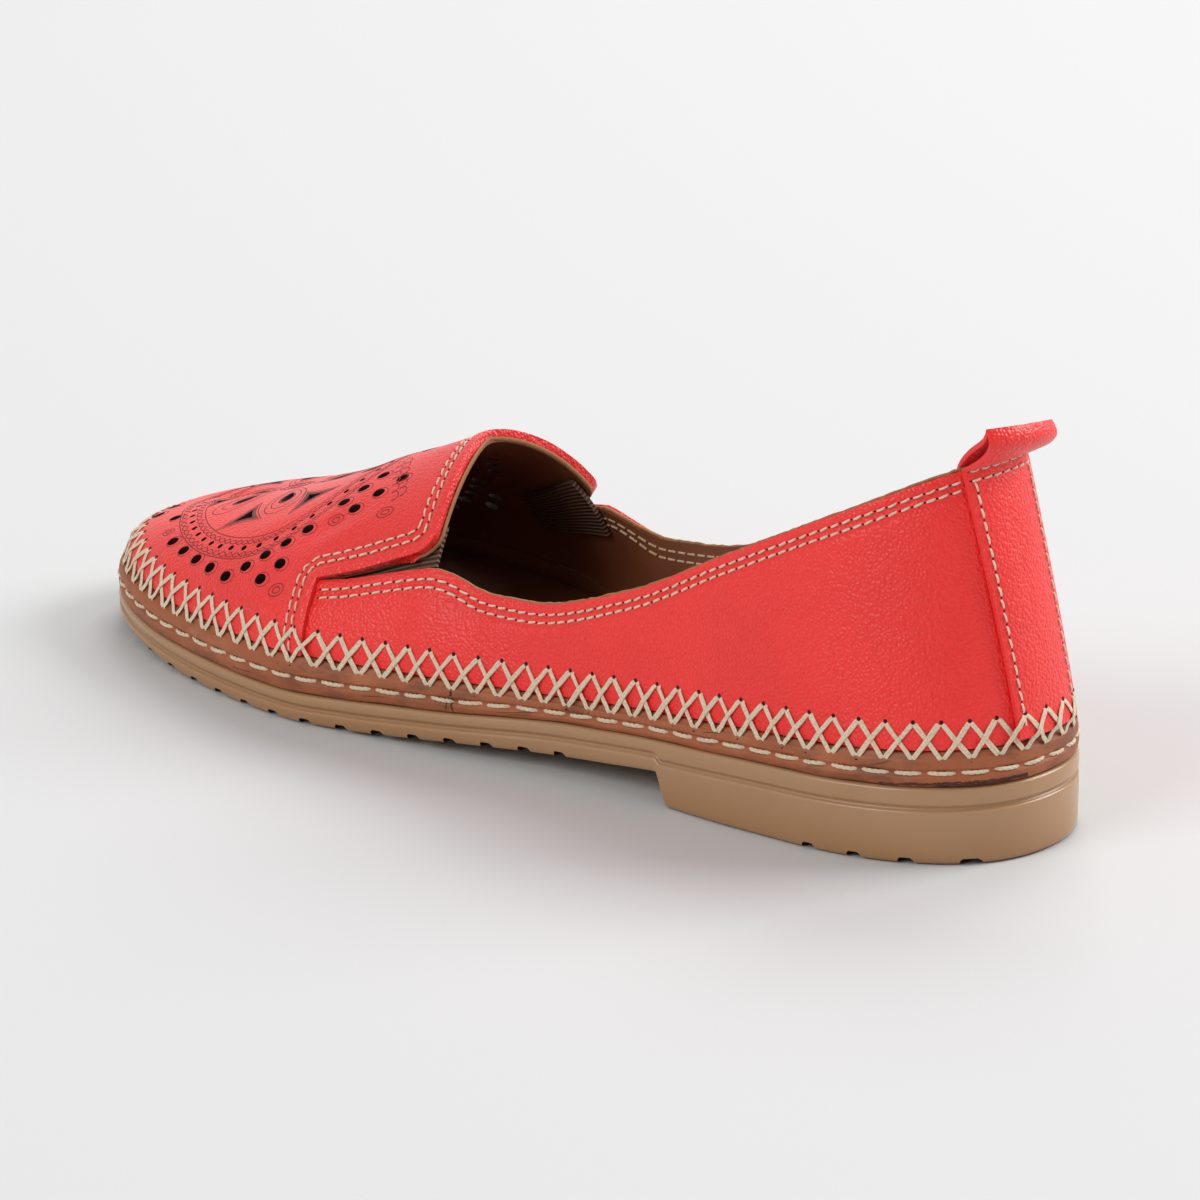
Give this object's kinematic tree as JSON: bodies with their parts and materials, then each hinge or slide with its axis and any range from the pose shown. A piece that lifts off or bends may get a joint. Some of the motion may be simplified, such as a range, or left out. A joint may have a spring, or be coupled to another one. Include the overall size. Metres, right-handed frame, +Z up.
{
  "type": "loafer",
  "caption": "Low slip-on leather loafer for the left foot, with a pierced vamp over elastic side gores, a cross-stitched leather band and a moulded gum rubber sole with a low heel.",
  "frame": {"origin": "on the floor under the middle of the heel, 35 mm ahead of the back of the sole, where the heel rests", "axes": "+X runs to the toe, +Y to the outer (lateral) side of the left shoe, +Z up"},
  "size_m": [0.2582, 0.0881, 0.0914],
  "materials": {
    "gum_rubber": "satin, slightly translucent gum",
    "brown_leather": "oiled, mottled",
    "lining_leather": "matte",
    "red_leather": "soft grained, low sheen",
    "brown_elastic": "ribbed elastic web"
  },
  "bodies": {
    "root": {"outsole": "gum_rubber", "midsole": "brown_leather", "insole": "lining_leather", "upper": "red_leather", "gore_lateral": "brown_elastic", "gore_medial": "brown_elastic", "back_strip": "red_leather"}
  },
  "joints": []
}
